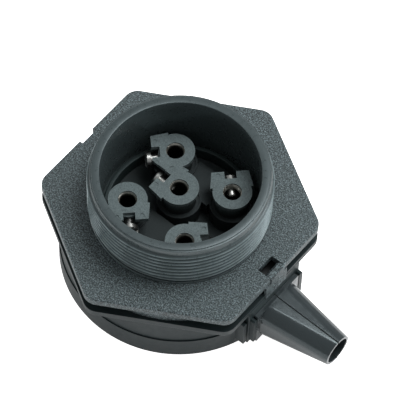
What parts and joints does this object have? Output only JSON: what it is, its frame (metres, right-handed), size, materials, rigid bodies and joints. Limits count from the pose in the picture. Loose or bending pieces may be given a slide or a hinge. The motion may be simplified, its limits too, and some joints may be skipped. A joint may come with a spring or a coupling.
{
  "type": "trailer wiring connector",
  "caption": "Round trailer wiring connector with a hexagonal flange, threaded collar, screw clamp terminals inside and a tapered split cable nozzle at the side.",
  "frame": {"origin": "on the collar's axis, at the top face of the upper hexagonal flange", "axes": "+Z along the collar's axis out of its mouth; +X along the cable nozzle, towards its tip"},
  "size_m": [0.1065, 0.0908, 0.05],
  "materials": {
    "grained_plastic": "spark-eroded grain, matt charcoal",
    "satin_plastic": "smooth satin charcoal",
    "insulator_plastic": "smooth satin near black",
    "nozzle_plastic": "semi-gloss charcoal",
    "seal_rubber": "matt",
    "nickel_sleeve": "turned brass, nickel plated",
    "nickel_screw": "bright nickel plate"
  },
  "bodies": {
    "housing": {"upper_housing": "grained_plastic", "lower_housing": "satin_plastic", "bottom_cover": "satin_plastic", "carrier_cup": "insulator_plastic", "terminal_block": "insulator_plastic", "cable_nozzle_left": "nozzle_plastic", "cable_nozzle_right": "nozzle_plastic", "cover_seal": "seal_rubber", "housing_seal": "seal_rubber", "contact_sleeve_1": "nickel_sleeve", "contact_sleeve_2": "nickel_sleeve", "contact_sleeve_3": "nickel_sleeve", "contact_sleeve_4": "nickel_sleeve", "contact_sleeve_5": "nickel_sleeve"},
    "latch": {"release_latch": "grained_plastic"},
    "guard_1": {"wire_guard_1": "nickel_screw"},
    "screw_1": {"clamp_screw_1": "nickel_screw"},
    "guard_2": {"wire_guard_2": "nickel_screw"},
    "screw_2": {"clamp_screw_2": "nickel_screw"},
    "guard_3": {"wire_guard_3": "nickel_screw"},
    "screw_3": {"clamp_screw_3": "nickel_screw"},
    "guard_4": {"wire_guard_4": "nickel_screw"},
    "screw_4": {"clamp_screw_4": "nickel_screw"},
    "guard_5": {"wire_guard_5": "nickel_screw"},
    "screw_5": {"clamp_screw_5": "nickel_screw"}
  },
  "joints": [
    {"name": "latch_flex", "type": "hinge", "parent": "housing", "child": "latch", "pos_m": [0.03985, 0.0002, -0.0094], "axis": [0, 1, 0], "range_deg": [0, 20]},
    {"name": "guard_1_travel", "type": "slide", "parent": "housing", "child": "guard_1", "axis": [0.7071, -0.7071, 0], "range_m": [-0.002, 0.0003]},
    {"name": "screw_1_turn", "type": "hinge", "parent": "guard_1", "child": "screw_1", "pos_m": [0.01195, 0.01195, 0.0004], "axis": [0.7071, -0.7071, 0], "range_deg": [-1201, 181]},
    {"name": "guard_2_travel", "type": "slide", "parent": "housing", "child": "guard_2", "axis": [0.7071, 0.7071, 0], "range_m": [0, 0.00225]},
    {"name": "screw_2_turn", "type": "hinge", "parent": "guard_2", "child": "screw_2", "pos_m": [-0.01195, 0.01195, 0.0004], "axis": [0.7071, 0.7071, 0], "range_deg": [0, 1351]},
    {"name": "guard_3_travel", "type": "slide", "parent": "housing", "child": "guard_3", "axis": [-0.7071, 0.7071, 0], "range_m": [0, 0.00225]},
    {"name": "screw_3_turn", "type": "hinge", "parent": "guard_3", "child": "screw_3", "pos_m": [-0.01195, -0.01195, 0.0004], "axis": [-0.7071, 0.7071, 0], "range_deg": [0, 1351]},
    {"name": "guard_4_travel", "type": "slide", "parent": "housing", "child": "guard_4", "axis": [-0.7071, -0.7071, 0], "range_m": [0, 0.00225]},
    {"name": "screw_4_turn", "type": "hinge", "parent": "guard_4", "child": "screw_4", "pos_m": [0.01195, -0.01195, 0.0004], "axis": [-0.7071, -0.7071, 0], "range_deg": [0, 1351]},
    {"name": "guard_5_travel", "type": "slide", "parent": "housing", "child": "guard_5", "axis": [1, 0, 0], "range_m": [0, 0.00225]},
    {"name": "screw_5_turn", "type": "hinge", "parent": "guard_5", "child": "screw_5", "pos_m": [-0.00212, 0.00212, 0.0004], "axis": [1, 0, 0], "range_deg": [0, 1351]}
  ],
  "couplings": [
    {"joint": "screw_1_turn", "follows": "guard_1_travel", "rad_per_m": 10472},
    {"joint": "screw_2_turn", "follows": "guard_2_travel", "rad_per_m": 10472},
    {"joint": "screw_3_turn", "follows": "guard_3_travel", "rad_per_m": 10472},
    {"joint": "screw_4_turn", "follows": "guard_4_travel", "rad_per_m": 10472},
    {"joint": "screw_5_turn", "follows": "guard_5_travel", "rad_per_m": 10472}
  ]
}
